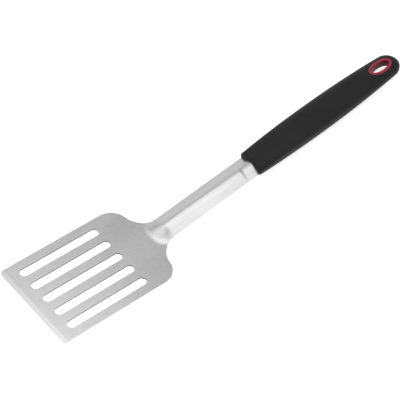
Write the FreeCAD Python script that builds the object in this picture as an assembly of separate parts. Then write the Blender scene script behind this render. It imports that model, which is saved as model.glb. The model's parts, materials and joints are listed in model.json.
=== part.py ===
import FreeCAD, Part
import math
import os

# Grill spatula: a slotted stainless blade and arched shank pressed from one sheet, in a moulded handle
# with a soft grip and a coloured oval eyelet. Lengths are in mm and angles in degrees.
#
# The spatula is designed in the blade's own frame: x runs from the front edge to the handle, y across,
# z up, and z = 0 is the flat underside of the blade. At the end every piece is turned and moved together
# to the way the spatula lies on a table: on the heel of the neck and the belly of the grip, with z = 0
# at the table and the origin under the middle of its length.

V = FreeCAD.Vector

# ---- stamped sheet
SHEET = 1.2                # thickness of the stainless sheet
BLADE_WIDTH = 82.0
BLADE_SIDE = 97.5          # length of the straight sides, from the front edge to the shoulders
FRONT_CORNER_R = 2.5
SHOULDER_R = 15.6          # rounded rear corners of the blade
NECK_R = 20.5              # hollow curve from a shoulder into the shank
GROUND_LENGTH = 3.6        # width of the bevel ground on the front edge
GROUND_EDGE = 0.45         # thickness left at the front edge

SLOT_COUNT = 5
SLOT_WIDTH = 7.0
SLOT_LENGTH = 75.0
SLOT_START = 11.6          # front edge to the start of the slots
SIDE_WEB = 7.8             # metal outside the outer slots

# ---- arched shank
SHANK_WIDTH = 21.5
RISE_ANGLE = 10.5          # shank against the blade
HEEL_BACK = 10.2           # bend line, ahead of the end of the neck curve
SHANK_LENGTH = 99.1        # bend line to the mouth of the handle, along the shank
FLANK_SLOPE = 0.47         # rise per mm of the arch's two flanks
FLANK_REACH = 12.3         # middle of the shank to where a flank would meet the flat sheet
RIDGE_R = 9.0              # underside radius of the ridge between the flanks
FOOT_R = 7.0               # underside radius at the foot of a flank
STEP_AHEAD = 13.7          # pressed step across the shank, ahead of the mouth
STEP_LENGTH = 2.5
STEP_SHARE = 0.9           # arch height left behind the step

# ---- tang, hidden in the handle
TANG_WIDTH = 15.0
TANG_LENGTH = 92.0         # from the mouth
TANG_END_R = 4.0
JOINT_BEHIND = 8.0         # lower half of the core, past the end of the tang
PIN_D = 4.0
PIN_PLACES = (38.0, 74.0)  # from the mouth
PIN_COVER = 1.0            # plastic over the ends of a pin

# ---- handle
HANDLE_LENGTH = 165.5
HANDLE_DROP = 0.45         # handle against the shank, turned down
HANDLE_RAISE = 3.4         # widest level of the handle above the edges of the shank, at the mouth
BELLY_AT = 78.0            # widest place, from the mouth
MOUTH_SIDE_WALL = 1.6      # soft grip beside the shank, at the mouth
BELLY_WIDTH = 28.7
BUTT_WIDTH = 20.8          # where the sides would meet the end, were it not rounded
CREST_AT = 72.0            # highest place of the top, from the mouth
MOUTH_TOP = 3.8            # heights of the top above the widest level
BELLY_TOP = 8.6
BUTT_TOP = 6.1
SAG_AT = 60.0              # lowest place of the underside, from the mouth
MOUTH_UNDER = 5.5          # depths of the underside below the widest level
BELLY_UNDER = 6.8
BUTT_UNDER = 0.8
END_ROUND_PLAN = 12.0      # length of the rounding of the butt, seen from above
END_ROUND_SIDE = 12.0      # and seen from the side
MOUTH_SQUARENESS = 3.0     # exponent of the cross-section: 2 is an ellipse, more is squarer
SQUARENESS = 2.4
MOUTH_HOLLOW_R = 120.0     # hollow curve of the rim of the mouth, seen from above
SKIN = 2.0                 # thickness of the soft grip over the core
MOUTH_WALL = 4.0           # soft grip ahead of the core

# ---- eyelet of the hanging hole
RING_LENGTH = 24.4
RING_WIDTH = 13.0
RING_WALL = 2.7
RING_TO_END = 7.9          # butt end to the eyelet
RING_PROUD = 0.35          # eyelet above the surface of the grip
RING_EDGE_R = 0.9          # rounding of the eyelet's mouth

# ---- values that follow from them
BLADE_HALF = BLADE_WIDTH / 2
SHANK_HALF = SHANK_WIDTH / 2
NECK_END = BLADE_SIDE + math.sqrt(
    (SHOULDER_R + NECK_R) ** 2 - (SHANK_HALF + NECK_R - BLADE_HALF + SHOULDER_R) ** 2)
HEEL_X = NECK_END - HEEL_BACK
AXIS = V(math.cos(math.radians(RISE_ANGLE)), 0, math.sin(math.radians(RISE_ANGLE)))
HANDLE_ANGLE = math.radians(RISE_ANGLE - HANDLE_DROP)
HANDLE_AXIS = V(math.cos(HANDLE_ANGLE), 0, math.sin(HANDLE_ANGLE))
HANDLE_UP = V(-HANDLE_AXIS.z, 0, HANDLE_AXIS.x)
SLOT_PITCH = (BLADE_WIDTH - 2 * SIDE_WEB - SLOT_WIDTH) / (SLOT_COUNT - 1)
NOSE_RADIUS = FLANK_REACH + FOOT_R * math.tan(math.atan(FLANK_SLOPE) / 2)
EDGE_LEVEL = FLANK_SLOPE * STEP_SHARE * max(FLANK_REACH - SHANK_HALF, 0)
STEP_AT = SHANK_LENGTH - STEP_AHEAD
RING_AT = HANDLE_LENGTH - RING_TO_END - RING_LENGTH / 2
SECTION_POINTS = 32        # points of one cross-section of the handle
SECTION_PITCH = 11.0       # distance between cross-sections
END_SECTION_ANGLES = (0, 20, 38, 54, 68, 79)   # places of the cross-sections round the butt
BELLY_PITCH = 0.5          # distance between the points that find the lowest place of the belly
HALVINGS = 40              # steps of the search for the tilt at rest
SAME_PLACE = 1e-6          # points closer than this are one point
FAR = 60.0                 # reach of cutting bodies past the pieces they cut


def smooth_step(t):
    """0 below t = 0, 1 above t = 1, and a smooth rise between."""
    t = min(max(t, 0.0), 1.0)
    return t * t * (3 - 2 * t)


def spread(start, end, pitch):
    """Evenly spaced values from start up to, but not counting, end."""
    count = max(1, round((end - start) / pitch))
    return [start + (end - start) * i / count for i in range(count)]


def outline(points):
    """Closed flat face from corner points and arcs given as (middle, end) pairs."""
    edges = []
    last = points[0]
    for item in points[1:] + [points[0]]:
        if isinstance(item, tuple):
            edges.append(Part.Arc(last, item[0], item[1]).toShape())
            last = item[1]
        elif (item - last).Length > SAME_PLACE:
            edges.append(Part.LineSegment(last, item).toShape())
            last = item
    return Part.Face(Part.Wire(edges))


def on_circle(centre, radius, angle):
    """Point on a circle in the plane z = 0, by its angle in degrees."""
    a = math.radians(angle)
    return centre + V(radius * math.cos(a), radius * math.sin(a), 0)


def sheet_outline():
    """Outline of the blank: blade, shoulders, neck, shank and tang, seen from above."""
    shoulder = V(BLADE_SIDE, BLADE_HALF - SHOULDER_R, 0)
    neck = V(NECK_END, SHANK_HALF + NECK_R, 0)
    lean = math.degrees(math.atan2(neck.y - shoulder.y, neck.x - shoulder.x))
    corner = V(FRONT_CORNER_R, BLADE_HALF - FRONT_CORNER_R, 0)
    mouth_x = HEEL_X + SHANK_LENGTH * AXIS.x
    tang_x = mouth_x + MOUTH_WALL
    tang_end = mouth_x + TANG_LENGTH * AXIS.x
    tang_half = TANG_WIDTH / 2
    tang_corner = V(tang_end - TANG_END_R, tang_half - TANG_END_R, 0)
    side = [
        on_circle(corner, FRONT_CORNER_R, 180),
        (on_circle(corner, FRONT_CORNER_R, 135), on_circle(corner, FRONT_CORNER_R, 90)),
        on_circle(shoulder, SHOULDER_R, 90),
        (on_circle(shoulder, SHOULDER_R, (90 + lean) / 2), on_circle(shoulder, SHOULDER_R, lean)),
        (on_circle(neck, NECK_R, 225 + lean / 2), on_circle(neck, NECK_R, 270)),
        V(tang_x, SHANK_HALF, 0),
        V(tang_x + SHANK_HALF - tang_half, tang_half, 0),
        V(tang_end - TANG_END_R, tang_half, 0),
        (on_circle(tang_corner, TANG_END_R, 45), on_circle(tang_corner, TANG_END_R, 0)),
    ]
    return outline(side + mirrored(side))


def turned_round(run):
    """The same run of corner points and arcs in reverse order."""
    starts = [item[1] if isinstance(item, tuple) else item for item in run]
    back = [starts[-1]]
    for item, before in zip(reversed(run[1:]), reversed(starts[:-1])):
        back.append((item[0], before) if isinstance(item, tuple) else before)
    return back


def flipped(point):
    """The same point on the other side."""
    return V(point.x, -point.y, point.z)


def mirrored(run):
    """The same run on the other side, in reverse order."""
    back = turned_round(run)
    return [tuple(map(flipped, item)) if isinstance(item, tuple) else flipped(item) for item in back]


def half_arch(height, share):
    """Half a cross-section of the arch, ridge to side, at a height above the underside of the sheet."""
    lean = math.atan(FLANK_SLOPE * share)
    ridge_r = RIDGE_R + height
    ridge_z = FLANK_SLOPE * share * FLANK_REACH - RIDGE_R / math.cos(lean)
    foot_r = FOOT_R - height
    foot_y = FLANK_REACH + FOOT_R * math.tan(lean / 2)

    def on_ridge(angle):
        return V(0, ridge_r * math.sin(angle), ridge_z + ridge_r * math.cos(angle))

    def on_foot(angle):
        return V(0, foot_y - foot_r * math.sin(angle), FOOT_R - foot_r * math.cos(angle))

    return [
        on_ridge(0),
        (on_ridge(lean / 2), on_ridge(lean)),
        on_foot(lean),
        (on_foot(lean / 2), on_foot(0)),
        V(0, BLADE_WIDTH, height),
    ]


def whole_arch(height, share):
    """Cross-section of one side of the pressed sheet, from edge to edge."""
    half = half_arch(height, share)
    return mirrored(half) + half[1:]


def sheet_section(along, share):
    """Cross-section of the sheet at a distance along the shank from the bend line."""
    face = outline(whole_arch(0, share) + turned_round(whole_arch(SHEET, share)))
    face.translate(V(HEEL_X, 0, 0) + AXIS * along)
    return face


def flat_plate():
    """The sheet ahead of the bend line, without the round nose of the arch."""
    plate = Part.makeBox(HEEL_X, 2 * BLADE_WIDTH, SHEET, V(0, -BLADE_WIDTH, 0))
    return plate.cut(Part.makeCylinder(NOSE_RADIUS, SHEET, V(HEEL_X, 0, 0)))


def nose():
    """Round front end of the arch, pressed into the flat sheet ahead of the bend line."""
    under = half_arch(0, 1)[:-1]
    top = half_arch(SHEET, 1)[:-1]
    face = outline(under + turned_round(top))
    face.translate(V(HEEL_X, 0, 0))
    return face.revolve(V(HEEL_X, 0, 0), V(0, 0, 1), 180)


def pressed_shank():
    """The arched sheet behind the bend line, lower behind the pressed step, wider than the blank."""
    step_end = STEP_AT + STEP_LENGTH
    rest = SHANK_LENGTH + TANG_LENGTH - step_end
    front = sheet_section(0, 1).extrude(AXIS * STEP_AT)
    step_wires = [sheet_section(STEP_AT, 1).OuterWire, sheet_section(step_end, STEP_SHARE).OuterWire]
    step = Part.makeLoft(step_wires, True, True)
    rear = sheet_section(step_end, STEP_SHARE).extrude(AXIS * (rest + FAR))
    return [front, step, rear]


def below_tang():
    """The space of the lower half of the core: below the underside of the tang, to a little behind it."""
    deep = [V(0, BLADE_WIDTH, -FAR), V(0, -BLADE_WIDTH, -FAR)]
    face = outline(whole_arch(0, STEP_SHARE) + deep)
    face.translate(V(HEEL_X, 0, 0) + AXIS * SHANK_LENGTH)
    return face.extrude(AXIS * (TANG_LENGTH + JOINT_BEHIND))


def slots():
    """The long round-ended slots, as cutting bodies."""
    radius = SLOT_WIDTH / 2
    bodies = []
    for i in range(SLOT_COUNT):
        y = (i - (SLOT_COUNT - 1) / 2) * SLOT_PITCH
        front = V(SLOT_START + radius, y, 0)
        rear = V(SLOT_START + SLOT_LENGTH - radius, y, 0)
        face = outline([
            on_circle(front, radius, 90),
            on_circle(rear, radius, 90),
            (on_circle(rear, radius, 0), on_circle(rear, radius, -90)),
            on_circle(front, radius, -90),
            (on_circle(front, radius, 180), on_circle(front, radius, 90)),
        ])
        face.translate(V(0, 0, -SHEET))
        bodies.append(face.extrude(V(0, 0, 3 * SHEET)))
    return bodies


def ground_bevel():
    """Wedge ground off the top of the front edge, with its cutting body starting ahead of that edge."""
    fall = (SHEET - GROUND_EDGE) / GROUND_LENGTH
    corners = [
        V(-GROUND_LENGTH, -BLADE_WIDTH, GROUND_EDGE - fall * GROUND_LENGTH),
        V(GROUND_LENGTH, -BLADE_WIDTH, SHEET),
        V(GROUND_LENGTH, -BLADE_WIDTH, 2 * SHEET),
        V(-GROUND_LENGTH, -BLADE_WIDTH, 2 * SHEET),
    ]
    face = Part.Face(Part.makePolygon(corners + corners[:1]))
    return face.extrude(V(0, 2 * BLADE_WIDTH, 0))


def handle_point(along, y=0.0, up=0.0):
    """Point in the blade's frame from a place in the handle: along it from the mouth, across and up."""
    mouth = V(HEEL_X, 0, 0) + AXIS * SHANK_LENGTH + HANDLE_UP * (HANDLE_RAISE + EDGE_LEVEL)
    return mouth + HANDLE_AXIS * along + V(0, y, 0) + HANDLE_UP * up


def blade_and_shank():
    """The whole stamping: flat blade, pressed shank and tang, slots, ground edge and pin holes."""
    blank = sheet_outline()
    blank.translate(V(0, 0, -FAR))
    blank = blank.extrude(V(0, 0, 3 * FAR))
    sheet = flat_plate().fuse([nose()] + pressed_shank()).common(blank)
    return sheet.removeSplitter().cut(slots() + [ground_bevel()] + pins())


def pins():
    """Round pins through tang and core, with plastic over both ends."""
    bodies = []
    for place in PIN_PLACES:
        bottom, _, top = handle_levels(place, SKIN)
        base = handle_point(place, 0, bottom + PIN_COVER)
        bodies.append(Part.makeCylinder(PIN_D / 2, top - bottom - 2 * PIN_COVER, base, HANDLE_UP))
    return bodies


def humped(along, peak_at, at_mouth, at_peak, at_butt):
    """Size that runs from the mouth over a peak to the butt, on two parabolas that meet level there."""
    if along < peak_at:
        return at_peak + (at_mouth - at_peak) * (1 - along / peak_at) ** 2
    return at_peak + (at_butt - at_peak) * ((along - peak_at) / (HANDLE_LENGTH - peak_at)) ** 2


def end_rounding(along, length, shrink):
    """Share of the section left near the butt by a rounding of that length."""
    into = (along - HANDLE_LENGTH + length) / (length - shrink)
    return math.sqrt(1 - min(max(into, 0.0), 1.0) ** 2)


def handle_half_width(along, shrink):
    """Half the width of the handle at a place, drawn in by `shrink` all round."""
    mouth_width = SHANK_WIDTH + 2 * MOUTH_SIDE_WALL
    half = humped(along, BELLY_AT, mouth_width, BELLY_WIDTH, BUTT_WIDTH) / 2
    return (half - shrink) * end_rounding(along, END_ROUND_PLAN, shrink)


def handle_depth(along):
    """Depth of the underside below the widest level."""
    if along < SAG_AT:
        return humped(along, SAG_AT, MOUTH_UNDER, BELLY_UNDER, BUTT_UNDER)
    return BELLY_UNDER + (BUTT_UNDER - BELLY_UNDER) * smooth_step((along - SAG_AT) / (HANDLE_LENGTH - SAG_AT))


def handle_levels(along, shrink):
    """Heights of the underside, the widest level and the top, against the widest level of the grip."""
    top = humped(along, CREST_AT, MOUTH_TOP, BELLY_TOP, BUTT_TOP)
    depth = handle_depth(along)
    middle = (top - depth) / 2
    half = (top + depth) / 2 - shrink
    level = middle + half * (depth - top) / (depth + top)
    share = end_rounding(along, END_ROUND_SIDE, shrink)
    return level - share * (level - middle + half), level, level + share * (middle + half - level)


def section(along, shrink):
    """Closed cross-section of the handle, drawn in by `shrink` all round."""
    half_width = handle_half_width(along, shrink)
    bottom, level, top = handle_levels(along, shrink)
    power = 2 / (MOUTH_SQUARENESS + (SQUARENESS - MOUTH_SQUARENESS) * smooth_step(along / BELLY_AT))
    points = []
    for i in range(SECTION_POINTS):
        c = math.cos(math.radians(i * 360 / SECTION_POINTS))
        s = math.sin(math.radians(i * 360 / SECTION_POINTS))
        reach = top - level if s > 0 else level - bottom
        y = half_width * math.copysign(abs(c) ** power, c)
        points.append(handle_point(along, y, level + reach * math.copysign(abs(s) ** power, s)))
    curve = Part.BSplineCurve()
    curve.interpolate(Points=points, PeriodicFlag=True)
    return Part.Wire([curve.toShape()])


def handle_body(start, shrink):
    """Body of the handle from a place near the mouth to the butt, drawn in by `shrink`."""
    end = HANDLE_LENGTH - shrink
    rounding_start = HANDLE_LENGTH - END_ROUND_PLAN - shrink
    places = spread(start, rounding_start, SECTION_PITCH)
    for degrees in END_SECTION_ANGLES:
        places.append(rounding_start + (end - rounding_start) * math.sin(math.radians(degrees)))
    sections = [section(place, shrink) for place in places]
    tip = Part.Vertex(handle_point(end, 0, handle_levels(end, shrink)[1]))
    return Part.makeLoft(sections + [tip], True, False)


def mouth_hollow():
    """Upright round cutting body that hollows the rim of the mouth, seen from above."""
    base = handle_point(-MOUTH_HOLLOW_R, 0, -FAR / 2)
    return Part.makeCylinder(MOUTH_HOLLOW_R, FAR, base, HANDLE_UP)


def oval(half_length, half_width):
    """Oval cutting body through the handle at the hanging hole, square to the handle."""
    middle = handle_point(RING_AT, 0, -FAR / 2)
    ellipse = Part.Ellipse(middle + HANDLE_AXIS * half_length, middle + V(0, half_width, 0), middle)
    face = Part.Face(Part.Wire([ellipse.toShape()]))
    return face.extrude(HANDLE_UP * FAR)


def hang_ring():
    """Oval eyelet that follows the surface of the grip and stands a little proud of it."""
    outer = oval(RING_LENGTH / 2, RING_WIDTH / 2)
    hole = oval(RING_LENGTH / 2 - RING_WALL, RING_WIDTH / 2 - RING_WALL)
    ring = handle_body(0, -RING_PROUD).common(outer).cut(hole)
    wall_middle = RING_WIDTH / 2 - RING_WALL / 2
    rims = [edge for edge in ring.Edges if RING_WALL / 2 < edge.BoundBox.YMax < wall_middle]
    return ring.makeFillet(RING_EDGE_R, rims)


def belly_points():
    """Points of the underside of the grip, along its middle."""
    return [handle_point(s, 0, handle_levels(s, 0)[0]) for s in spread(0, HANDLE_LENGTH, BELLY_PITCH)]


def lowest(points, tilt):
    """Height of the lowest of some points once the blade's front edge is tilted up."""
    return min(point.z * math.cos(tilt) - point.x * math.sin(tilt) for point in points)


def lying_on_table():
    """Placement that rests the spatula on its heel and its belly, over the origin."""
    heel = [V(HEEL_X, 0, 0)]
    belly = belly_points()
    low, high = 0.0, math.radians(RISE_ANGLE)
    for _ in range(HALVINGS):
        tilt = (low + high) / 2
        if lowest(heel, tilt) < lowest(belly, tilt):
            low = tilt
        else:
            high = tilt
    turn = FreeCAD.Rotation(V(0, 1, 0), math.degrees(tilt))
    butt = turn.multVec(handle_point(HANDLE_LENGTH))
    return FreeCAD.Placement(V(-butt.x / 2, 0, -lowest(heel, tilt)), turn)


def main():
    """Builds every piece, lays it on the table and writes its STEP file."""
    ring_seat = oval(RING_LENGTH / 2, RING_WIDTH / 2)
    blade = blade_and_shank()
    core = handle_body(MOUTH_WALL, SKIN)
    below = below_tang()
    pin_bodies = pins()
    nodes = {
        "blade_and_shank": blade,
        "core_lower": core.common(below).cut([ring_seat] + pin_bodies),
        "core_upper": core.cut([below, blade, ring_seat] + pin_bodies),
        "tang_pins": Part.makeCompound(pin_bodies),
        "soft_grip": handle_body(-MOUTH_WALL, 0).cut([mouth_hollow(), core, blade, ring_seat]),
        "hang_ring": hang_ring(),
    }
    place = lying_on_table()
    os.makedirs("parts", exist_ok=True)
    for name, shape in nodes.items():
        shape.Placement = place.multiply(shape.Placement)
        shape.exportStep("parts/" + name + ".step")
        print(name, len(shape.Solids), "solid(s)", round(shape.Volume), "mm3", shape.isValid())
    print("placement", place)


main()
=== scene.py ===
# %% [markdown]
# # A grill spatula, built around its CAD model
# The spatula is three things to the eye: one sheet of satin stainless steel that is blade, shank and
# tang in one, a black soft grip, and a red oval eyelet round the hanging hole. Inside the grip sit a hard
# core and two pins, which stay as the CAD model made them. This script loads that model as a fixed frame,
# builds the three visible pieces as fine meshes in the same place, and gives every piece its own finish.

# %% Load the frame
import json
import math

import bmesh
import bpy
import numpy as np
from mathutils import Matrix, Vector
from mathutils.geometry import delaunay_2d_cdt
from mathutils.kdtree import KDTree


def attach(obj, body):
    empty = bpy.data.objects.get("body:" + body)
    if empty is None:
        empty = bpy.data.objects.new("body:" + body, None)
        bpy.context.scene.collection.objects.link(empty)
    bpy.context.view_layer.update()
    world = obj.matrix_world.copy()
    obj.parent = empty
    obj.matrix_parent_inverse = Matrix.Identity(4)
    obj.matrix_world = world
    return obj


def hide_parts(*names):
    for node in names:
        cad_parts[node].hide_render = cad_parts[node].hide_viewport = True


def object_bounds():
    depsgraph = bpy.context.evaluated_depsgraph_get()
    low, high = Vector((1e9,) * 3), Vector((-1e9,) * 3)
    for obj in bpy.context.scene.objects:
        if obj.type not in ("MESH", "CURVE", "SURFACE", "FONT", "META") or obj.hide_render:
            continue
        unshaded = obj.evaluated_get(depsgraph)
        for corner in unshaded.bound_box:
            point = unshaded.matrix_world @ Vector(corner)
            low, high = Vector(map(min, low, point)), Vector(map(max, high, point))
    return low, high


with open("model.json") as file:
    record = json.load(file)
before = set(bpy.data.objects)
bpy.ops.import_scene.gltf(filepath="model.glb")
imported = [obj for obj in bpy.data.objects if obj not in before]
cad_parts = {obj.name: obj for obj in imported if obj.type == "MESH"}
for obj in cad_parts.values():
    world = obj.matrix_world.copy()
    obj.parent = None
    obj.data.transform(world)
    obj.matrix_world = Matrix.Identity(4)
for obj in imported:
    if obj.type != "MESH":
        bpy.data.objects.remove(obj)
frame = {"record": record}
cad_low, cad_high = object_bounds()
print("CAD box, metres:", [round(v, 4) for v in (*cad_low, *cad_high)])

# %% [markdown]
# ## Two working frames
# The spatula lies as it rests on a table, so neither its blade nor its handle is level. Drawing a flat
# blade in a tilted frame is hard, so each is drawn in a frame of its own, where it is straight, and a
# matrix puts it in place. The CAD model's two mounts give both matrices: the flat face under the blade,
# and the axis of the hanging hole.

# %% Blade frame and handle frame
MOUNT_TO_FRONT = 0.0058        # from the blade's mount to its front edge
HANDLE_LENGTH = 0.1655
RING_LENGTH = 0.0244
RING_TO_END = 0.0079           # butt end to the eyelet
RING_AT = HANDLE_LENGTH - RING_TO_END - RING_LENGTH / 2

mounts = {mount["name"]: mount for mount in frame["record"]["mounts"]}


def frame_at(origin, up):
    """Matrix of a frame with its z along `up` and its y across the spatula."""
    along = Vector((up.z, 0, -up.x))
    matrix = Matrix((along, Vector((0, 1, 0)), up)).transposed().to_4x4()
    matrix.translation = origin
    return matrix


blade_up = -Vector(mounts["blade_underside"]["axis"]).normalized()
blade_frame = frame_at(Vector(mounts["blade_underside"]["pos_m"]), blade_up)
blade_frame.translation = blade_frame @ Vector((-MOUNT_TO_FRONT, 0, 0))
blade_frame.translation.x = cad_low.x

hole_up = Vector(mounts["hang_hole"]["axis"]).normalized()
handle_frame = frame_at(Vector(mounts["hang_hole"]["pos_m"]), hole_up)
handle_frame.translation = handle_frame @ Vector((-RING_AT, 0, 0))
print("blade tilt, degrees:", round(math.degrees(math.atan2(blade_up.x, blade_up.z)), 2))

# %% [markdown]
# ## The steel: outline of the blank
# On the real spatula a press first punches a flat blank: a blade with round shoulders, a hollow neck,
# a narrow shank and a tang. It could be drawn as a curve and filled, but a filled curve gives long thin
# triangles that shade badly once the sheet is bent. So the outline is laid out here as points on lines
# and arcs, close together where the sheet will be pressed, and a later step fills it evenly.

# %% Sizes of the blank
BLADE_HALF = 0.041
BLADE_SIDE = 0.0975            # length of the straight sides
FRONT_CORNER_R = 0.0025
SHOULDER_R = 0.0156
NECK_R = 0.0205
SHANK_HALF = 0.01075
TANG_HALF = 0.0075
TANG_LENGTH = 0.092
TANG_END_R = 0.004
HEEL_BACK = 0.0102             # bend line, ahead of the end of the neck curve
SHANK_LENGTH = 0.0991          # bend line to the mouth of the handle
RISE_ANGLE = math.radians(10.5)
TAPER_BEHIND = 0.004           # mouth to where the shank narrows to the tang
COARSE = 0.004                 # spacing of points where the sheet is flat or hidden
FINE = 0.0008                  # and where it is pressed and seen

rise = math.tan(RISE_ANGLE)
NECK_END = BLADE_SIDE + math.sqrt(
    (SHOULDER_R + NECK_R) ** 2 - (SHANK_HALF + NECK_R - BLADE_HALF + SHOULDER_R) ** 2)
HEEL_X = NECK_END - HEEL_BACK
MOUTH_X = HEEL_X + SHANK_LENGTH * math.cos(RISE_ANGLE)
TANG_END = MOUTH_X + TANG_LENGTH * math.cos(RISE_ANGLE)
TAPER_X = MOUTH_X + TAPER_BEHIND
print("front edge to the bend line and to the mouth, mm:", [round(x * 1000, 1) for x in (HEEL_X, MOUTH_X)])


def arc(centre, radius, start, end, pitch):
    """Points along an arc in three pieces or more, its angles in degrees, both ends included."""
    turn = math.radians(end - start)
    count = max(3, round(abs(turn) * radius / pitch))
    angles = [math.radians(start) + turn * i / count for i in range(count + 1)]
    return [(centre[0] + radius * math.cos(a), centre[1] + radius * math.sin(a)) for a in angles]


def line(start, end, pitch):
    """Points between two points, without the points themselves."""
    count = max(1, round(math.dist(start, end) / pitch))
    shares = [i / count for i in range(1, count)]
    return [(start[0] + (end[0] - start[0]) * t, start[1] + (end[1] - start[1]) * t) for t in shares]


# %% Lay out one side and mirror it
GROUND_LENGTH = 0.0036         # width of the bevel ground on the front edge

shoulder = (BLADE_SIDE, BLADE_HALF - SHOULDER_R)
neck = (NECK_END, SHANK_HALF + NECK_R)
lean = math.degrees(math.atan2(neck[1] - shoulder[1], neck[0] - shoulder[0]))
taper_end = (TAPER_X + SHANK_HALF - TANG_HALF, TANG_HALF)

side = arc((FRONT_CORNER_R, BLADE_HALF - FRONT_CORNER_R), FRONT_CORNER_R, 180, 90, FINE / 2)
side += [(GROUND_LENGTH, BLADE_HALF)] + line((GROUND_LENGTH, BLADE_HALF), (BLADE_SIDE, BLADE_HALF), COARSE)
side += arc(shoulder, SHOULDER_R, 90, lean, FINE)
side += arc(neck, NECK_R, 180 + lean, 270, FINE)[1:]
side += line((NECK_END, SHANK_HALF), (TAPER_X, SHANK_HALF), FINE) + [(TAPER_X, SHANK_HALF), taper_end]
side += line(taper_end, (TANG_END - TANG_END_R, TANG_HALF), COARSE)
side += arc((TANG_END - TANG_END_R, TANG_HALF - TANG_END_R), TANG_END_R, 90, 0, FINE)
blank = side + [(x, -y) for x, y in reversed(side)]
print("outline of the blank:", len(blank), "points")

# %% [markdown]
# ## The steel: slots
# Five long slots with round ends let fat drain through the blade. Each is a closed loop inside the
# outline. A boolean could cut them from a finished plate, but as loops in the same flat drawing they cost
# nothing and leave clean edges.

# %% Loops of the slots and the pin holes
SLOT_COUNT = 5
SLOT_HALF = 0.0035
SLOT_START = 0.0116
SLOT_LENGTH = 0.075
SIDE_WEB = 0.0078              # metal outside the outer slots
PIN_R = 0.002
PIN_PLACES = (0.038, 0.074)    # from the mouth
slot_pitch = 2 * (BLADE_HALF - SIDE_WEB - SLOT_HALF) / (SLOT_COUNT - 1)


def slot_loop(y):
    """Outline of one slot: two half circles joined by straight sides."""
    front = (SLOT_START + SLOT_HALF, y)
    rear = (SLOT_START + SLOT_LENGTH - SLOT_HALF, y)
    return arc(front, SLOT_HALF, 90, 270, FINE / 2) + arc(rear, SLOT_HALF, -90, 90, FINE / 2)


holes = [slot_loop((i - (SLOT_COUNT - 1) / 2) * slot_pitch) for i in range(SLOT_COUNT)]
for place in PIN_PLACES:
    holes.append(arc((MOUTH_X + place * math.cos(RISE_ANGLE), 0), PIN_R, 0, 360, FINE)[:-1])
print("slots and pin holes:", len(holes))

# %% [markdown]
# ## The steel: fill the drawing with even triangles
# A constrained Delaunay triangulation takes the outline, the loops and a grid of extra points, and joins
# them into triangles that keep every outline edge. It fills the slots and the hollows of the outline too, so
# the triangles whose middle isn't on metal are left out afterwards. The grid is fine over the neck and the
# shank, where the surface will curve, and has one row at the back of the ground edge, so that the bevel ends
# in a clean line.


# %% Scatter grid points and triangulate
PRESS_REACH = 0.0138           # how far ahead of the bend line the pressing reaches
WHOLE_HULL = 0                 # kind of output: every triangle, on metal or not
SAME_POINT = 1e-7              # points that are nearer than this are taken as one
loops = [blank] + holes
rim_points = [point for loop in loops for point in loop]
rim_tree = KDTree(len(rim_points))
for index, point in enumerate(rim_points):
    rim_tree.insert((*point, 0), index)
rim_tree.balance()


def on_metal(places):
    """Whether each place is on metal: an odd number of outline edges lies beyond it."""
    crossings = np.zeros(len(places), dtype=int)
    for loop in loops:
        for (ax, ay), (bx, by) in zip(loop, loop[1:] + loop[:1]):
            if ay != by:
                beyond = places[:, 0] < ax + (places[:, 1] - ay) * (bx - ax) / (by - ay)
                crossings += beyond & ((places[:, 1] < ay) != (places[:, 1] < by))
    return crossings % 2 == 1


def grid(x_from, x_to, half, pitch):
    """Points of a square grid on the metal and off its rims, symmetric about the middle."""
    columns = [x_from + i * pitch for i in range(int((x_to - x_from) / pitch) + 1)]
    rows = range(-int(half / pitch), int(half / pitch) + 1)
    points = [(x, row * pitch) for x in columns for row in rows]
    kept = [point for point, inside in zip(points, on_metal(np.array(points))) if inside]
    return [point for point in kept if rim_tree.find((*point, 0))[2] > FINE / 2]


inner = grid(GROUND_LENGTH, GROUND_LENGTH, BLADE_HALF, COARSE / 2)
inner += grid(HEEL_X - PRESS_REACH, TAPER_X, BLADE_HALF, FINE)
inner += grid(TAPER_X + COARSE, TANG_END, TANG_HALF, COARSE / 2)

edges = []
for loop in loops:
    first = len(edges)
    edges += [(first + i, first + (i + 1) % len(loop)) for i in range(len(loop))]
places = [Vector(point) for point in rim_points + inner]
filled = delaunay_2d_cdt(places, edges, [], WHOLE_HULL, SAME_POINT, False)
flat_points = filled[0]
middles = np.array([sum((flat_points[i] for i in face), Vector((0, 0))) / 3 for face in filled[2]])
triangles = [face for face, inside in zip(filled[2], on_metal(middles)) if inside]
print("triangles in the flat drawing:", len(triangles))

# %% [markdown]
# ## The steel: press it
# The second blow of the press bends the shank up and folds a long arch into it, which makes a thin sheet
# stiff. The arch is two flat flanks with a rounded ridge. It rises out of the blade in a soft round nose,
# and a small step near the handle lowers it. All of that is a height over the flat drawing, so one function
# gives the underside, and the top lies one sheet thickness above it, square to the surface.

# %% Height of the underside
SHEET = 0.0012
HEEL_BEND = 0.003              # half the length of the bend
FLANK_SLOPE = 0.47
FLANK_REACH = 0.0123           # middle of the shank to where a flank would meet the flat sheet
RIDGE_R = 0.009
FOOT_R = 0.007
STEP_AHEAD = 0.0137            # pressed step, ahead of the mouth
STEP_LENGTH = 0.0025
STEP_SHARE = 0.9               # arch height left behind the step
NOSE_START = 0.0085            # tip of the nose, ahead of the bend line
NOSE_FADE = 0.0175             # length over which the nose rises out of the flat blade


def smooth_step(t):
    """0 below t = 0, 1 above t = 1, and a smooth rise between."""
    t = min(max(t, 0.0), 1.0)
    return t * t * (3 - 2 * t)


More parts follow.
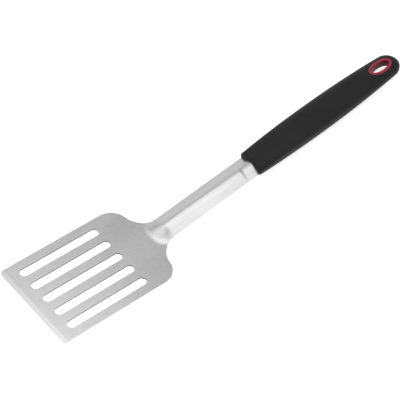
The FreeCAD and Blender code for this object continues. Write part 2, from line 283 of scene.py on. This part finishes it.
def arch_height(distance, share):
    """Height of the arch at a distance from its ridge: ridge arc, straight flank, foot arc, flat."""
    slope = FLANK_SLOPE * share
    angle = math.atan(slope)
    foot = FLANK_REACH + FOOT_R * math.tan(angle / 2)
    if distance < RIDGE_R * math.sin(angle):
        drop = RIDGE_R / math.cos(angle) - math.sqrt(RIDGE_R ** 2 - distance ** 2)
        return slope * FLANK_REACH - drop
    if distance < foot - FOOT_R * math.sin(angle):
        return slope * (FLANK_REACH - distance)
    if distance < foot:
        return FOOT_R - math.sqrt(FOOT_R ** 2 - (foot - distance) ** 2)
    return 0.0


def bend_height(u):
    """Rise of the shank behind the bend line, with a parabola over the bend."""
    if abs(u) >= HEEL_BEND:
        return rise * max(u, 0.0)
    return rise * (u + HEEL_BEND) ** 2 / (4 * HEEL_BEND)


def underside(x, y):
    """Height of the underside of the pressed sheet."""
    along = (x - HEEL_X) / math.cos(RISE_ANGLE)
    step = smooth_step((along - SHANK_LENGTH + STEP_AHEAD) / STEP_LENGTH)
    share = 1 - (1 - STEP_SHARE) * step
    arch = arch_height(math.hypot(min(x - HEEL_X, 0.0), y), share)
    return bend_height(x - HEEL_X) + arch * smooth_step((x - HEEL_X + NOSE_START) / NOSE_FADE)


print("ridge above the blade at the nose, mm:", round(underside(HEEL_X, 0) * 1000, 2))

# %% [markdown]
# ## The steel: a solid sheet with soft edges
# The front edge is ground to a thin bevel, so that it slides under food, and tumbling has taken the
# sharpness off every other edge. A rounding of a tenth of a millimetre is hardly a shape, but it is what
# catches the light along the blade and the slots. The bevel tool adds it to the rim edges only. The lines
# where it meets the flat faces are marked sharp, or its tilt would smear across the wide triangles beside it.

# %% Build the steel mesh
GROUND_EDGE = 0.00045          # thickness left at the front edge
EDGE_R = 0.00011               # rounding of the rim edges
EDGE_PIECES = 2                # strips of faces in that rounding
PROBE = 0.00002                # step for measuring the slope of the surface


def sheet_point(x, y, height):
    """Point in the frame, at a height above the underside of the sheet and square to it."""
    slope_x = (underside(x + PROBE, y) - underside(x - PROBE, y)) / (2 * PROBE)
    slope_y = (underside(x, y + PROBE) - underside(x, y - PROBE)) / (2 * PROBE)
    normal = Vector((-slope_x, -slope_y, 1)).normalized()
    return blade_frame @ (Vector((x, y, underside(x, y))) + normal * height)


def thickness(x):
    """Thickness of the sheet, less over the ground edge."""
    return SHEET - (SHEET - GROUND_EDGE) * max(1 - x / GROUND_LENGTH, 0.0)


def rim_edges(faces):
    """Edges that only one triangle has, in the direction in which it has them."""
    directed = {(face[i], face[(i + 1) % 3]) for face in faces for i in range(3)}
    return sorted(edge for edge in directed if (edge[1], edge[0]) not in directed)


def smooth_mesh(name, bm):
    """Mesh with smooth shading from the faces that were built."""
    for face in bm.faces:
        face.smooth = True
    mesh = bpy.data.meshes.new(name)
    bm.to_mesh(mesh)
    bm.free()
    return mesh


def steel_mesh():
    """The pressed sheet: top, underside and rim walls, with softened rim edges."""
    bm = bmesh.new()
    used = sorted({index for face in triangles for index in face})
    low = {i: bm.verts.new(sheet_point(*flat_points[i], 0)) for i in used}
    high = {i: bm.verts.new(sheet_point(*flat_points[i], thickness(flat_points[i][0]))) for i in used}
    for a, b, c in triangles:
        bm.faces.new((high[a], high[b], high[c]))
        bm.faces.new((low[c], low[b], low[a]))
    rims = rim_edges(triangles)
    for a, b in rims:
        bm.faces.new((low[a], low[b], high[b], high[a]))
    ground_row = {high[i] for i in used if abs(flat_points[i][0] - GROUND_LENGTH) < PROBE}
    for edge in bm.edges:
        edge.smooth = not ground_row.issuperset(edge.verts)
    soft = [bm.edges.get((level[a], level[b])) for a, b in rims for level in (low, high)]
    rounded = bmesh.ops.bevel(
        bm, geom=soft, offset=EDGE_R, segments=EDGE_PIECES, profile=0.5,
        affect="EDGES", clamp_overlap=True)["faces"]
    for edge in {edge for face in rounded for edge in face.edges}:
        edge.smooth = edge.smooth and all(face in rounded for face in edge.link_faces)
    return smooth_mesh("blade_and_shank_steel", bm)


def add_piece(name, mesh):
    """Object for a mesh that is already in place, riding on the one body of the spatula."""
    piece = bpy.data.objects.new(name, mesh)
    bpy.context.scene.collection.objects.link(piece)
    weighted = piece.modifiers.new("even_normals", "WEIGHTED_NORMAL")
    weighted.keep_sharp = True
    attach(piece, "root")
    return piece


steel = add_piece("blade_and_shank_steel", steel_mesh())
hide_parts("blade_and_shank")
print("steel faces:", len(steel.data.polygons))

# %% [markdown]
# ## The grip: one smooth body
# The grip is soft rubber moulded over the core. It is flat-bellied and domed, widest in the palm and
# narrow at the butt. A sculpted mesh would do, but a hand tool is better described by sizes: width, height
# and depth as functions of the place along the handle, and a cross-section between an ellipse and a
# rectangle. Rings of points along those functions give an even mesh with a true outline from every side.

# %% Sizes of the grip
BELLY_AT = 0.078               # widest place, from the mouth
MOUTH_WIDTH = 0.0247
BELLY_WIDTH = 0.0287
BUTT_WIDTH = 0.0208
CREST_AT = 0.072               # highest place of the top
MOUTH_TOP, BELLY_TOP, BUTT_TOP = 0.0038, 0.0086, 0.0061
SAG_AT = 0.06                  # lowest place of the underside
MOUTH_UNDER, BELLY_UNDER, BUTT_UNDER = 0.0055, 0.0068, 0.0008
END_ROUND = 0.012              # length of the rounding of the butt
MOUTH_SQUARENESS = 3.0         # exponent of the cross-section: 2 is an ellipse
SQUARENESS = 2.4
MOUTH_HOLLOW_R = 0.12          # hollow curve of the rim of the mouth, seen from above
MOUTH_ROUND = 0.0009           # rounding of that rim


def humped(along, peak_at, at_mouth, at_peak, at_butt):
    """Size that runs from the mouth over a peak to the butt, on two parabolas."""
    if along < peak_at:
        return at_peak + (at_mouth - at_peak) * (1 - along / peak_at) ** 2
    return at_peak + (at_butt - at_peak) * ((along - peak_at) / (HANDLE_LENGTH - peak_at)) ** 2


def grip_section(along, shrink=0.0):
    """Half width, depth, height and exponent of the grip's cross-section, drawn in by `shrink`."""
    into_end = (along - HANDLE_LENGTH + END_ROUND) / END_ROUND
    share = math.sqrt(1 - min(max(into_end, 0.0), 1.0) ** 2)
    width = humped(along, BELLY_AT, MOUTH_WIDTH, BELLY_WIDTH, BUTT_WIDTH)
    top = humped(along, CREST_AT, MOUTH_TOP, BELLY_TOP, BUTT_TOP)
    depth = humped(along, SAG_AT, MOUTH_UNDER, BELLY_UNDER, BELLY_UNDER)
    rising = smooth_step((along - SAG_AT) / (HANDLE_LENGTH - SAG_AT))
    depth += (BUTT_UNDER - BELLY_UNDER) * rising
    power = MOUTH_SQUARENESS + (SQUARENESS - MOUTH_SQUARENESS) * smooth_step(along / BELLY_AT)
    return share * (width / 2 - shrink), share * (depth - shrink), share * (top - shrink), power


print("grip at its widest, mm:", round(2000 * grip_section(BELLY_AT)[0], 1))

# %% Build the grip from rings
RING_PITCH = 0.0012            # distance between the rings of the body
RING_COUNT = 96                # points round the grip
CAP_RINGS = 5                  # rings on the flat of the mouth
CAP_PITCH = 0.0006
RIM_STEPS = 6                  # steps round the rim of the mouth
BUTT_STEPS = 16                # steps over the rounded butt


def quarter_turn(steps):
    """Angles from 0 to 90 degrees, both included."""
    return [math.radians(90 * i / steps) for i in range(steps + 1)]


def ring_places():
    """Place and inset of each ring: flat mouth, rounded rim, body, rounded butt."""
    cap = [(0.0, MOUTH_ROUND + CAP_PITCH * i) for i in range(CAP_RINGS, 0, -1)]
    # The rim is laid from the body back to the mouth, so the first two millimetres fold over themselves.
    rim = [(MOUTH_ROUND * (1 - math.cos(a)), MOUTH_ROUND * (1 - math.sin(a)))
           for a in reversed(quarter_turn(RIM_STEPS))]
    body_length = HANDLE_LENGTH - END_ROUND - MOUTH_ROUND
    count = round(body_length / RING_PITCH)
    body = [(MOUTH_ROUND + body_length * i / count, 0.0) for i in range(1, count)]
    butt_start = HANDLE_LENGTH - END_ROUND
    butt = [(butt_start + END_ROUND * math.sin(a), 0.0) for a in quarter_turn(BUTT_STEPS)[:-1]]
    return cap + rim + body + butt


def grip_ring(along, shrink):
    """Points of one ring round the grip."""
    half, depth, top, power = grip_section(along, shrink)
    ring = []
    for i in range(RING_COUNT):
        angle = 2 * math.pi * i / RING_COUNT
        c, s = math.cos(angle), math.sin(angle)
        y = half * math.copysign(abs(c) ** (2 / power), c)
        z = (top if s > 0 else depth) * math.copysign(abs(s) ** (2 / power), s)
        hollow = y * y / (2 * MOUTH_HOLLOW_R) * (1 - smooth_step(along / END_ROUND))
        ring.append(handle_frame @ Vector((along - hollow, y, z)))
    return ring


def join_rings(bm, before, after):
    """Band of faces between two rings of vertices."""
    for i in range(len(before)):
        j = (i + 1) % len(before)
        bm.faces.new((before[i], before[j], after[j], after[i]))


def close_with_fan(bm, ring, tip, outward):
    """Fan of triangles from a ring of vertices to one point."""
    middle = bm.verts.new(tip)
    for i, vert in enumerate(ring):
        after = ring[(i + 1) % len(ring)]
        bm.faces.new((vert, after, middle) if outward else (after, vert, middle))


def grip_mesh():
    """Closed body of the grip, before the hanging hole is cut."""
    bm = bmesh.new()
    sections = [grip_ring(along, shrink) for along, shrink in ring_places()]
    rings = [[bm.verts.new(point) for point in section] for section in sections]
    for before, after in zip(rings, rings[1:]):
        join_rings(bm, before, after)
    close_with_fan(bm, rings[0], handle_frame @ Vector((0, 0, 0)), outward=False)
    close_with_fan(bm, rings[-1], handle_frame @ Vector((HANDLE_LENGTH, 0, 0)), outward=True)
    bmesh.ops.recalc_face_normals(bm, faces=bm.faces)
    return smooth_mesh("soft_grip_rubber", bm)


print("rings of the grip:", len(ring_places()))

# %% [markdown]
# ## The grip: cut the hanging hole
# The eyelet needs an oval hole through the butt. Working it into the rings would spoil their even spacing,
# so it is cut with the boolean tool, by an upright oval a little smaller than the eyelet. The eyelet then
# covers the cut edge on both faces, as it does on the real handle.

# %% Cut the hole with an oval tool
RING_WIDTH = 0.013
SEAT_OVERLAP = 0.0003          # how far the eyelet's wall reaches into the grip
CUTTER_REACH = 0.03            # how far the cutting tool stands out above and below


def oval_point(angle, inset, up):
    """Point on an oval round the hanging hole, drawn in by `inset`, in the handle's frame."""
    x = RING_AT + (RING_LENGTH / 2 - inset) * math.cos(angle)
    return Vector((x, (RING_WIDTH / 2 - inset) * math.sin(angle), up))


def oval_cutter():
    """Upright oval body through the handle."""
    bm = bmesh.new()
    angles = [2 * math.pi * i / RING_COUNT for i in range(RING_COUNT)]
    low = [bm.verts.new(handle_frame @ oval_point(a, SEAT_OVERLAP, -CUTTER_REACH)) for a in angles]
    high = [bm.verts.new(handle_frame @ oval_point(a, SEAT_OVERLAP, CUTTER_REACH)) for a in angles]
    join_rings(bm, low, high)
    bm.faces.new(high)
    bm.faces.new(list(reversed(low)))
    mesh = bpy.data.meshes.new("oval_cutter")
    bm.to_mesh(mesh)
    bm.free()
    return mesh


def cut(mesh, tool_mesh):
    """Mesh with the body of another mesh taken out of it."""
    body = bpy.data.objects.new("body", mesh)
    tool = bpy.data.objects.new("tool", tool_mesh)
    for obj in (body, tool):
        bpy.context.scene.collection.objects.link(obj)
    boolean = body.modifiers.new("cut", "BOOLEAN")
    boolean.operation, boolean.object, boolean.solver = "DIFFERENCE", tool, "EXACT"
    depsgraph = bpy.context.evaluated_depsgraph_get()
    result = bpy.data.meshes.new_from_object(body.evaluated_get(depsgraph))
    for obj in (body, tool):
        bpy.data.objects.remove(obj)
    return result


grip = add_piece("soft_grip_rubber", cut(grip_mesh(), oval_cutter()))
grip.data.name = grip.name
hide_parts("soft_grip")
print("grip faces:", len(grip.data.polygons))

# %% [markdown]
# ## The eyelet
# The red eyelet is a moulded plastic oval with rounded lips. It follows the domed top and the flat belly
# of the grip and stands a little proud of both. Its section is drawn once, as a distance in from the outer
# wall and a height above or below the grip's surface, and swept round the oval, so the lips rise and fall
# with the grip.

# %% Sweep the eyelet round its oval
RING_WALL = 0.0027
RING_PROUD = 0.00035           # how far the lips stand out of the grip
LIP_R = 0.0009                 # rounding of the lip towards the hole
EDGE_LIP_R = 0.0004            # and towards the grip
LIP_STEPS = 6


def grip_surface(along, y):
    """Heights of the underside and the top of the grip at a place in plan."""
    half, depth, top, power = grip_section(along)
    share = (1 - min(abs(y) / half, 1.0) ** power) ** (1 / power)
    return -depth * share, top * share


def lip_profile():
    """(inset, sink) pairs over one lip, from the outer wall over the top and into the hole."""
    angles = quarter_turn(LIP_STEPS)
    outer = [(EDGE_LIP_R * (1 - math.cos(a)), EDGE_LIP_R * (1 - math.sin(a))) for a in angles]
    inner = [(RING_WALL - LIP_R * (1 - math.sin(a)), LIP_R * (1 - math.cos(a))) for a in angles]
    return outer + inner


def eyelet_section(angle):
    """Closed section of the eyelet at an angle round the oval."""
    points = []
    for side in (1, -1):
        profile = lip_profile()
        for inset, sink in profile if side > 0 else reversed(profile):
            flat = oval_point(angle, inset, 0)
            low, high = grip_surface(flat.x, flat.y)
            flat.z = high + RING_PROUD - sink if side > 0 else low - RING_PROUD + sink
            points.append(handle_frame @ flat)
    return points


def eyelet_mesh():
    """The eyelet, as its section swept round the oval."""
    bm = bmesh.new()
    count = 2 * RING_COUNT
    sections = [eyelet_section(2 * math.pi * i / count) for i in range(count)]
    rings = [[bm.verts.new(p) for p in section] for section in sections]
    for before, after in zip(rings, rings[1:] + rings[:1]):
        join_rings(bm, before, after)
    bmesh.ops.recalc_face_normals(bm, faces=bm.faces)
    return smooth_mesh("hang_ring_eyelet", bm)


eyelet = add_piece("hang_ring_eyelet", eyelet_mesh())
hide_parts("hang_ring")
print("eyelet faces:", len(eyelet.data.polygons))

# %% [markdown]
# ## Finishes: how they are built
# Every finish is worked out from the piece's own position, so nothing has to be unwrapped or painted. A
# noise that is stretched along the spatula makes brush lines, an even one makes grain. Small helpers make
# the nodes, so that each finish below is only the part that differs.


# %% Helpers for the finishes
STANDS, FACES = 0.15, 0.75     # cosines at which a surface stands along a direction and faces along it
COLOUR_INS, COLOUR_OUT = (6, 7), 2    # a Mix node has sockets for each kind of value: these mix colours


class Finish:
    """A material with a Principled shader and short ways to add the nodes that drive it."""

    def __init__(self, name):
        self.material = bpy.data.materials.new(name)
        self.material.use_nodes = True
        self.nodes = self.material.node_tree.nodes
        self.links = self.material.node_tree.links
        self.shader = self.nodes["Principled BSDF"]
        self.place = self.nodes.new("ShaderNodeTexCoord").outputs["Object"]

    def noise(self, scale, detail=3.0):
        """Noise with a number of waves per metre along x, y and z."""
        stretch = self.nodes.new("ShaderNodeMapping")
        stretch.inputs["Scale"].default_value = scale
        self.links.new(self.place, stretch.inputs["Vector"])
        texture = self.nodes.new("ShaderNodeTexNoise")
        texture.inputs["Scale"].default_value = 1.0
        texture.inputs["Detail"].default_value = detail
        self.links.new(stretch.outputs["Vector"], texture.inputs["Vector"])
        return texture.outputs["Fac"]

    def axis(self, name):
        """Place along one axis."""
        split = self.nodes.new("ShaderNodeSeparateXYZ")
        self.links.new(self.place, split.inputs["Vector"])
        return split.outputs[name]

    def band(self, name, low, high):
        """0 at one place along an axis and 1 at another."""
        return self.spread(self.axis(name), low, high, 0.0, 1.0)

    def facing(self, direction):
        """0 where the surface stands along a direction and 1 where it faces along it, either way."""
        dot = self.nodes.new("ShaderNodeVectorMath")
        dot.operation = "DOT_PRODUCT"
        self.links.new(self.nodes.new("ShaderNodeNewGeometry").outputs["Normal"], dot.inputs[0])
        dot.inputs[1].default_value = direction
        turned = self.nodes.new("ShaderNodeMath")
        turned.operation = "ABSOLUTE"
        self.links.new(dot.outputs["Value"], turned.inputs[0])
        return self.spread(turned.outputs["Value"], STANDS, FACES, 0.0, 1.0)

    def spread(self, value, from_low, from_high, low, high):
        """Value moved smoothly from one range to another."""
        node = self.nodes.new("ShaderNodeMapRange")
        node.interpolation_type = "SMOOTHSTEP"
        ends = node.inputs[1:5]    # both ends of the range that comes in and of the one that goes out
        for socket, number in zip(ends, (from_low, from_high, low, high)):
            socket.default_value = number
        self.links.new(value, node.inputs["Value"])
        return node.outputs["Result"]

    def mix(self, share, first, second):
        """Colour between two colours."""
        node = self.nodes.new("ShaderNodeMix")
        node.data_type = "RGBA"
        self.links.new(share, node.inputs["Factor"])
        for number, colour in zip(COLOUR_INS, (first, second)):
            socket = node.inputs[number]
            if isinstance(colour, tuple):
                socket.default_value = (*colour, 1)
            else:
                self.links.new(colour, socket)
        return node.outputs[COLOUR_OUT]

    def join(self, operation, first, second):
        """Two values joined by a sum, a product or the like."""
        node = self.nodes.new("ShaderNodeMath")
        node.operation = operation
        for socket, value in zip(node.inputs, (first, second)):
            if isinstance(value, float):
                socket.default_value = value
            else:
                self.links.new(value, socket)
        return node.outputs["Value"]

    def bump(self, height, distance, strength=1.0):
        """Fine relief, its height in metres."""
        node = self.nodes.new("ShaderNodeBump")
        node.inputs["Strength"].default_value = strength
        node.inputs["Distance"].default_value = distance
        self.links.new(height, node.inputs["Height"])
        self.links.new(node.outputs["Normal"], self.shader.inputs["Normal"])

    def drive(self, values):
        """Sets shader inputs: numbers and colours on their sockets, anything else by a link."""
        for name, value in values.items():
            socket = self.shader.inputs[name]
            if isinstance(value, tuple):
                socket.default_value = (*value, 1)
            elif isinstance(value, float):
                socket.default_value = value
            else:
                self.links.new(value, socket)


def put_on(finish, *pieces):
    """Gives pieces one finish."""
    for piece in pieces:
        piece.data.materials.clear()
        piece.data.materials.append(finish.material)
    print(finish.material.name, "on", [piece.name for piece in pieces])


# %% [markdown]
# ## Finish: satin stainless steel
# The sheet is polished along its length with a fine belt and then dulled a little by tumbling. So its
# grain is long in x and very fine across, its shine is soft, and faint cloudy patches are a touch duller.
# The ground front edge comes straight from a finer wheel, and it is shinier and evener. The walls inside the
# slots lie in the shade under the blade, and that shade is painted into their colour as near black. Rough
# enough metal needs no separate grain map to look brushed: a slight relief and a slight change of colour do
# it.


# %% Make the steel finish
BRUSHED_LOW, BRUSHED_HIGH = (0.69, 0.69, 0.69), (0.81, 0.81, 0.81)
GROUND_COLOUR = (0.79, 0.79, 0.79)
GROUND_SHINE = 0.04            # how much less rough the ground edge is
GROUND_FADE = 0.8              # share of its width at which that is reached
# painted shade: near black on the slot walls, for the shade they lie in under the blade, fading out just
# behind the slots
SLOT_SHADE_COLOUR = (0.02, 0.02, 0.02)
SLOT_SHADE_FADE = 0.004           # distance behind the slots in which that colour ends
GRAIN_RELIEF = 0.000004


def satin_steel():
    """Brushed and tumbled stainless steel, with painted shade: near-black walls in the slots."""
    finish = Finish("satin_stainless")
    grain = finish.noise((90.0, 5200.0, 5200.0), 4.0)
    clouds = finish.noise((28.0, 42.0, 42.0), 2.0)
    streaks = finish.noise((55.0, 1300.0, 1300.0), 2.0)
    ground = finish.band("X", cad_low.x + GROUND_LENGTH, cad_low.x + GROUND_LENGTH * GROUND_FADE)

    lines = finish.join("MULTIPLY", finish.join("ADD", grain, streaks), 0.5)
    brushed = finish.mix(finish.spread(lines, 0.3, 0.7, 0.0, 1.0), BRUSHED_LOW, BRUSHED_HIGH)
    outer = finish.mix(ground, brushed, GROUND_COLOUR)

    # painted shade: near black on the upright walls in the slotted part of the blade, kept off the outer
    # edges and the shank
    slots_end = cad_low.x + SLOT_START + SLOT_LENGTH
    from_middle = finish.join("ABSOLUTE", finish.axis("Y"), 0.0)
    beside = finish.spread(from_middle, BLADE_HALF - SIDE_WEB, BLADE_HALF - SIDE_WEB / 2, 0.0, 1.0)
    behind = finish.band("X", slots_end, slots_end + SLOT_SHADE_FADE)
    unshaded = finish.join("MAXIMUM", finish.facing(blade_up), finish.join("MAXIMUM", beside, behind))
    finish.drive({"Base Color": finish.mix(unshaded, SLOT_SHADE_COLOUR, outer), "Metallic": 1.0})

    dull = finish.join("MULTIPLY", finish.spread(clouds, 0.35, 0.7, 0.31, 0.37),
                       finish.spread(grain, 0.2, 0.8, 0.9, 1.1))
    shine = finish.join("MULTIPLY", ground, GROUND_SHINE)
    finish.drive({"Roughness": finish.join("SUBTRACT", dull, shine)})
    finish.bump(grain, GRAIN_RELIEF)
    return finish


put_on(satin_steel(), steel)

# %% [markdown]
# ## Finish: soft rubber
# The grip is moulded in soft black rubber. It is never quite black and never quite even: the mould leaves
# a fine matte grain, and handling leaves faint lighter patches. A low shine with a high roughness gives the
# broad, dim highlight along the crest.


# %% Make the rubber finish
def soft_rubber():
    """Matte black rubber with a fine grain."""
    finish = Finish("soft_rubber")
    grain = finish.noise((2600.0, 2600.0, 2600.0), 2.0)
    patches = finish.noise((70.0, 110.0, 110.0), 3.0)
    handled = finish.spread(patches, 0.35, 0.68, 0.0, 1.0)
    colour = finish.mix(handled, (0.0115, 0.0115, 0.0115), (0.0170, 0.0170, 0.0170))
    rough = finish.join("ADD", finish.spread(patches, 0.3, 0.7, 0.50, 0.60),
                        finish.spread(grain, 0.3, 0.7, 0.0, 0.05))
    finish.drive({"Base Color": colour, "Roughness": rough, "Specular IOR Level": 0.35})
    finish.bump(grain, 0.00004, 0.5)
    return finish


put_on(soft_rubber(), grip)

# %% [markdown]
# ## Finish: red plastic
# The eyelet is hard red plastic, moulded in its own colour. Its lip is smooth and a little shiny. Its upright
# wall lies deep in the hole, in shade, and that shade is painted into the colour: a deep, almost black red
# wherever the surface stands along the hole.


# %% Make the red finish
def red_plastic():
    """Moulded red plastic, a little uneven, with painted shade: almost black red on its upright walls."""
    finish = Finish("red_plastic")
    grain = finish.noise((1800.0, 1800.0, 1800.0), 2.0)
    patches = finish.noise((240.0, 240.0, 240.0), 2.0)
    lip = finish.mix(patches, (0.42, 0.044, 0.072), (0.54, 0.064, 0.10))
    # painted shade: almost black red on the upright walls, for the shade inside the hole
    colour = finish.mix(finish.facing(hole_up), (0.10, 0.002, 0.008), lip)
    finish.drive({"Base Color": colour, "Roughness": finish.spread(patches, 0.3, 0.7, 0.32, 0.42),
                  "Specular IOR Level": 0.12})
    finish.bump(grain, 0.00002, 0.4)
    return finish


put_on(red_plastic(), eyelet)

# %% [markdown]
# ## Finishes: the hidden pieces
# The core halves and the pins are out of sight inside the grip, but they show whenever someone takes the
# model apart. The core is grey glass-filled nylon with short fibres in it, and the pins are drawn steel
# wire with fine scratches along them.


# %% Make the finishes of the core and the pins
def filled_nylon():
    """Grey plastic with short fibres."""
    finish = Finish("filled_nylon")
    fibres = finish.noise((500.0, 2400.0, 2400.0), 4.0)
    colour = finish.mix(fibres, (0.060, 0.062, 0.066), (0.105, 0.107, 0.112))
    finish.drive({"Base Color": colour, "Roughness": finish.spread(fibres, 0.3, 0.7, 0.45, 0.62)})
    finish.bump(fibres, 0.00003, 0.6)
    return finish


def drawn_steel():
    """Steel wire with drawing lines along z."""
    finish = Finish("drawn_steel")
    lines = finish.noise((6000.0, 6000.0, 120.0), 3.0)
    colour = finish.mix(lines, (0.50, 0.50, 0.51), (0.66, 0.66, 0.67))
    finish.drive({"Base Color": colour, "Roughness": finish.spread(lines, 0.3, 0.7, 0.25, 0.40),
                  "Metallic": 1.0})
    finish.bump(lines, 0.000005)
    return finish


put_on(filled_nylon(), bpy.data.objects["core_lower"], bpy.data.objects["core_upper"])
put_on(drawn_steel(), bpy.data.objects["tang_pins"])

# %% [markdown]
# ## The floor
# The spatula lies on a pale seamless sheet, which is bright enough to read as paper white. A little
# emission keeps it even, so the object's own shadows stay soft and close to it.


# %% Lay the floor
FLOOR_HALF = 3.0
FLOOR_GLOW = 0.68


def paper():
    """Pale paper with a faint tooth."""
    finish = Finish("pale_paper")
    tooth = finish.noise((900.0, 900.0, 900.0), 2.0)
    colour = finish.mix(tooth, (0.90, 0.90, 0.90), (0.93, 0.93, 0.93))
    finish.drive({"Base Color": colour, "Roughness": 0.9, "Specular IOR Level": 0.1,
                  "Emission Color": (1.0, 1.0, 1.0), "Emission Strength": FLOOR_GLOW})
    finish.bump(tooth, 0.00002, 0.3)
    return finish


floor_mesh = bpy.data.meshes.new("floor")
corners = [(x * FLOOR_HALF, y * FLOOR_HALF, 0) for x, y in ((-1, -1), (1, -1), (1, 1), (-1, 1))]
floor_mesh.from_pydata(corners, [], [(0, 1, 2, 3)])
floor = bpy.data.objects.new("floor", floor_mesh)
bpy.context.scene.collection.objects.link(floor)
put_on(paper(), floor)

# %% [markdown]
# ## Light
# Polished steel shows its surroundings more than itself, so it is lit by what it mirrors. A soft box hangs
# overhead: the near flank of the arch mirrors its middle and turns almost white, while the blade mirrors its
# far edge and goes from light grey at the front to mid grey at the neck. A second box hangs over the front,
# for the nose of the arch. A third stands well behind the spatula and leans towards it, and the far flank
# mirrors it as an even grey. The world is a plain grey that fills the rest.

# %% Hang the lights
WORLD_LEVEL = 0.39
WATTS = 4.0                    # power for one square metre of a light whose face has a brightness of 1


def soft_box(name, place, turn, size, level):
    """Rectangular soft light that faces down until it is turned, with a given brightness of its face."""
    light = bpy.data.lights.new(name, "AREA")
    light.shape = "RECTANGLE"
    light.size, light.size_y = size
    light.energy = WATTS * level * size[0] * size[1]
    lamp = bpy.data.objects.new(name, light)
    lamp.location = place
    lamp.rotation_euler = [math.radians(degrees) for degrees in turn]
    lamp.visible_camera = False
    bpy.context.scene.collection.objects.link(lamp)


world = bpy.data.worlds.new("studio")
world.use_nodes = True
world.node_tree.nodes["Background"].inputs["Color"].default_value = (WORLD_LEVEL, WORLD_LEVEL, WORLD_LEVEL, 1)
bpy.context.scene.world = world

soft_box("overhead_box", (0.134, -0.051, 0.5), (0, 0, 20), (0.30, 0.75), 0.76)
soft_box("front_box", (-0.36, 0.15, 0.5), (0, 0, 0), (0.50, 0.75), 0.48)
soft_box("side_box", (0.45, 1.15, 0.55), (-66, 0, -21), (1.0, 0.8), 0.27)

# %% [markdown]
# ## Camera
# The camera looks down at the spatula from the front left with a long lens, so the blade keeps almost the
# same width from front to back. Its turn about the line of sight is slight.

# %% Place the camera
CAMERA_AT = Vector((-0.459129, -0.519607, 0.979963))
CAMERA_BACK = Vector((-0.36454529, -0.43823345, 0.82161924))
CAMERA_RIGHT = Vector((0.76059062, -0.64917232, -0.00878667))
FOCAL_LENGTH = 133.63
SENSOR_WIDTH = 36.0

lens = bpy.data.cameras.new("camera")
lens.lens = FOCAL_LENGTH
lens.sensor_width = SENSOR_WIDTH
camera = bpy.data.objects.new("camera", lens)
turn = Matrix((CAMERA_RIGHT, CAMERA_BACK.cross(CAMERA_RIGHT), CAMERA_BACK)).transposed()
camera.matrix_world = turn.to_4x4()
camera.location = CAMERA_AT
bpy.context.scene.collection.objects.link(camera)
bpy.context.scene.camera = camera
bpy.context.scene.view_settings.view_transform = "Standard"
print("camera to the frame's origin, metres:", round(camera.location.length, 3))
